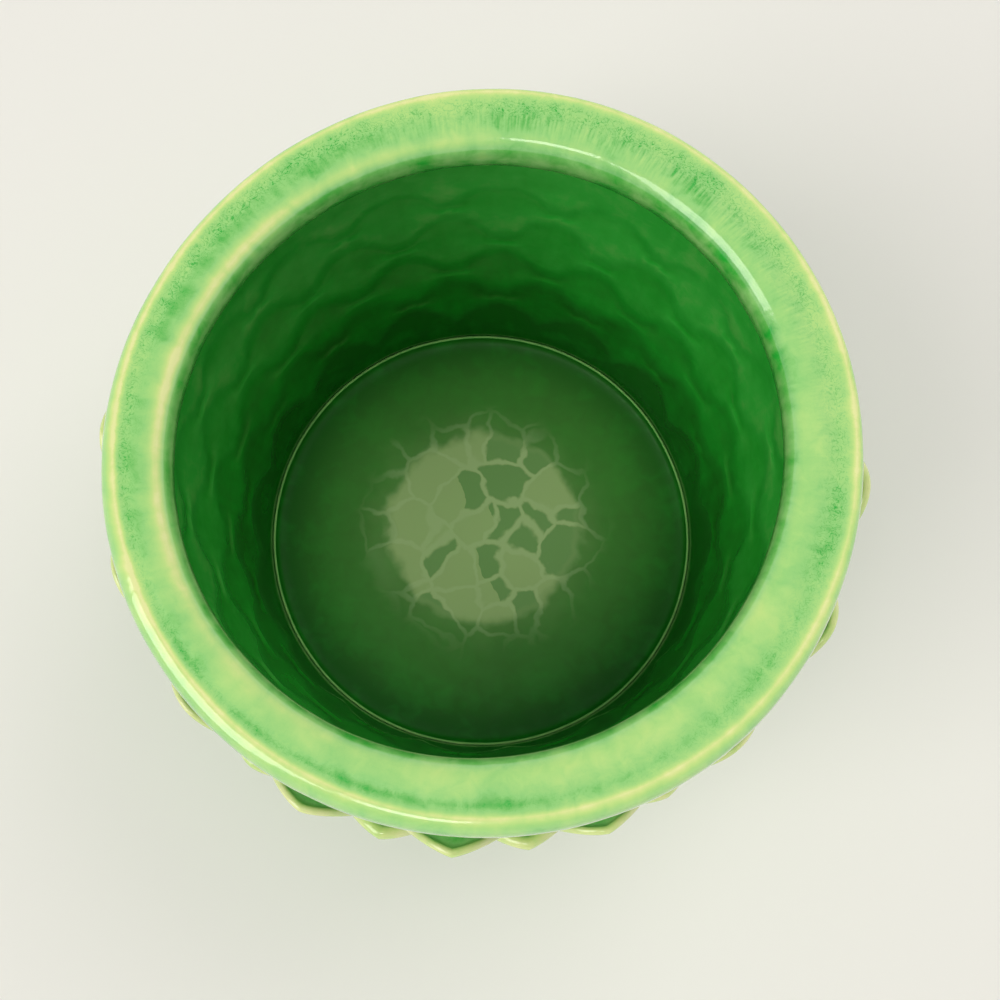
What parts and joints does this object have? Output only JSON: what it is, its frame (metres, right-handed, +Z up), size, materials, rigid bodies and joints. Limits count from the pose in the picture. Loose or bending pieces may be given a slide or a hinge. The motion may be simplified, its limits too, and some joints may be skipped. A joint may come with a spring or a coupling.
{
  "type": "ceramic planter",
  "caption": "Round glazed earthenware planter with a broad rolled rim, a tapering bore and staggered courses of raised, upward-pointing scales round the outside.",
  "frame": {"origin": "centre of the foot ring's bottom face, on the surface that the planter stands on", "axes": "+Z up along the planter's axis, +Y through the tip of one scale of the top course, away from the viewer of the picture"},
  "size_m": [0.2036, 0.2036, 0.15],
  "materials": {
    "rim_glaze": "glossy translucent green glaze, pale yellow where it thins over the crests",
    "bore_glaze": "glossy deep green glaze",
    "scale_glaze": "glossy green glaze, pale on the lips of the scales and dark where it pools behind them",
    "bare_clay": "unglazed fired earthenware, dry and matt"
  },
  "bodies": {
    "root": {"foot_ring": "bare_clay", "floor": "bore_glaze", "wall": "bore_glaze", "rim": "rim_glaze", "scale_row_1": "scale_glaze", "scale_row_2": "scale_glaze", "scale_row_3": "scale_glaze", "scale_row_4": "scale_glaze", "scale_row_5": "scale_glaze"}
  },
  "joints": []
}
